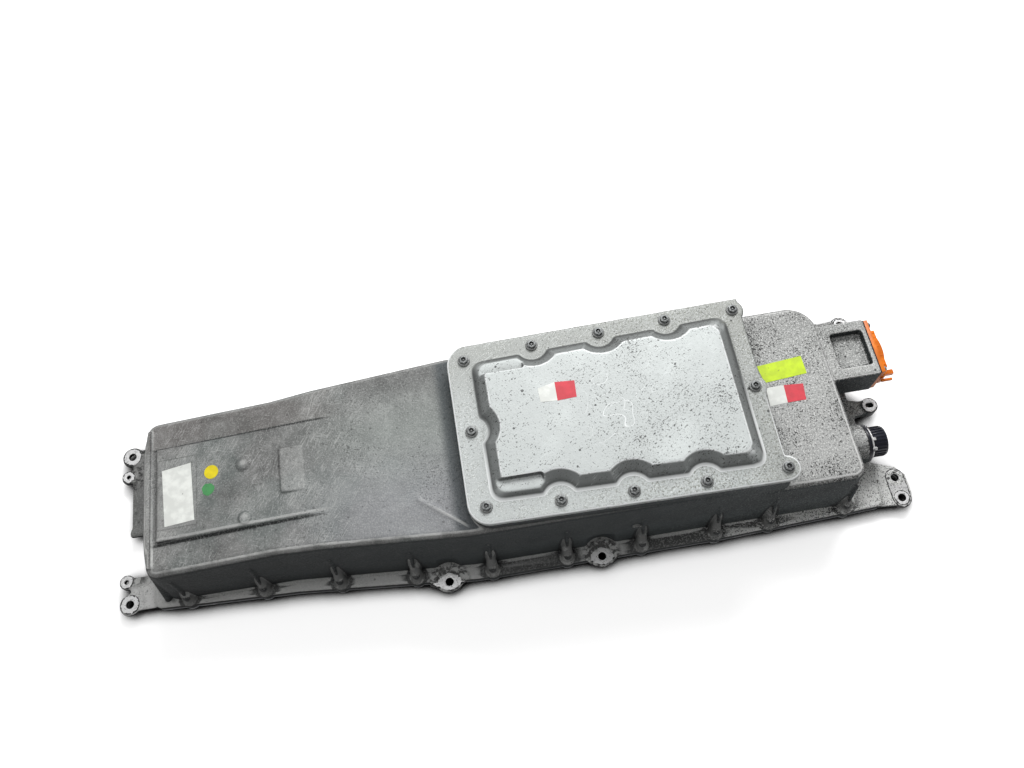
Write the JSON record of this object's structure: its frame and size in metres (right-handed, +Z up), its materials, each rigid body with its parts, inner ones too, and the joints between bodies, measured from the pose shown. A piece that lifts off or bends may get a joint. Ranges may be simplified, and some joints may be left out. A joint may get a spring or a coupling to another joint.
{
  "type": "hybrid car traction battery",
  "caption": "Long low cast battery housing with a raised bolted service cover, bolt ears round its flange, and power and signal connectors at one end.",
  "frame": {"origin": "middle of the underside", "axes": "+X along the length towards the connectors, +Y towards the connector neck's side, +Z up"},
  "size_m": [0.847, 0.253, 0.1395],
  "materials": {
    "cast_aluminium": "as cast, dull and speckled",
    "cover_aluminium": "as cast, light and speckled",
    "plate_metal": "pressed sheet, dull",
    "screw_steel": "dark plated",
    "gasket_rubber": "moulded, matte",
    "orange_plastic": "moulded",
    "black_plastic": "moulded",
    "contact_metal": "tinned",
    "copper": "rolled copper",
    "link_metal": "rolled",
    "pad_grey": "soft filled pad",
    "band_steel": "rolled strip",
    "carrier_plastic": "moulded",
    "board_green": "lacquered board",
    "fuse_ceramic": "unglazed",
    "contactor_plastic": "moulded",
    "resistor_metal": "anodised",
    "cell_case": "drawn can"
  },
  "bodies": {
    "root": {"upper_housing": "cast_aluminium", "service_cover": "cover_aluminium", "bottom_plate": "plate_metal", "end_plate_left": "plate_metal", "end_plate_right": "plate_metal", "service_cover_screws": "screw_steel", "bottom_plate_screws": "screw_steel", "hv_connector_screws": "screw_steel", "signal_connector_screws": "screw_steel", "busbar_nuts": "screw_steel", "service_cover_gasket": "gasket_rubber", "bottom_plate_gasket": "gasket_rubber", "hv_connector_seal": "gasket_rubber", "signal_connector_seal": "gasket_rubber", "hv_connector_header": "orange_plastic", "signal_connector_shell": "black_plastic", "signal_connector_insert": "black_plastic", "junction_tray": "black_plastic", "current_sensor": "black_plastic", "precharge_relay": "black_plastic", "hv_terminal_positive": "contact_metal", "hv_terminal_negative": "contact_metal", "signal_contact_pins": "contact_metal", "return_busbar": "copper", "module_busbar": "copper", "fuse_busbar": "copper", "output_busbar_positive": "copper", "output_busbar_negative": "copper", "sensor_busbar": "copper", "cell_links": "link_metal", "thermal_pad": "pad_grey", "side_band_front": "band_steel", "side_band_back": "band_steel", "board_bracket": "band_steel", "link_carrier": "carrier_plastic", "cell_monitor_board": "board_green", "management_board": "board_green", "main_fuse": "fuse_ceramic", "contactor_positive": "contactor_plastic", "contactor_negative": "contactor_plastic", "precharge_resistor": "resistor_metal", "cell_01": "cell_case", "cell_02": "cell_case", "cell_03": "cell_case", "cell_04": "cell_case", "cell_05": "cell_case", "cell_06": "cell_case", "cell_07": "cell_case", "cell_08": "cell_case", "cell_09": "cell_case", "cell_10": "cell_case", "cell_11": "cell_case", "cell_12": "cell_case", "cell_13": "cell_case", "cell_14": "cell_case", "cell_15": "cell_case", "cell_16": "cell_case", "cell_17": "cell_case", "cell_18": "cell_case"}
  },
  "joints": []
}
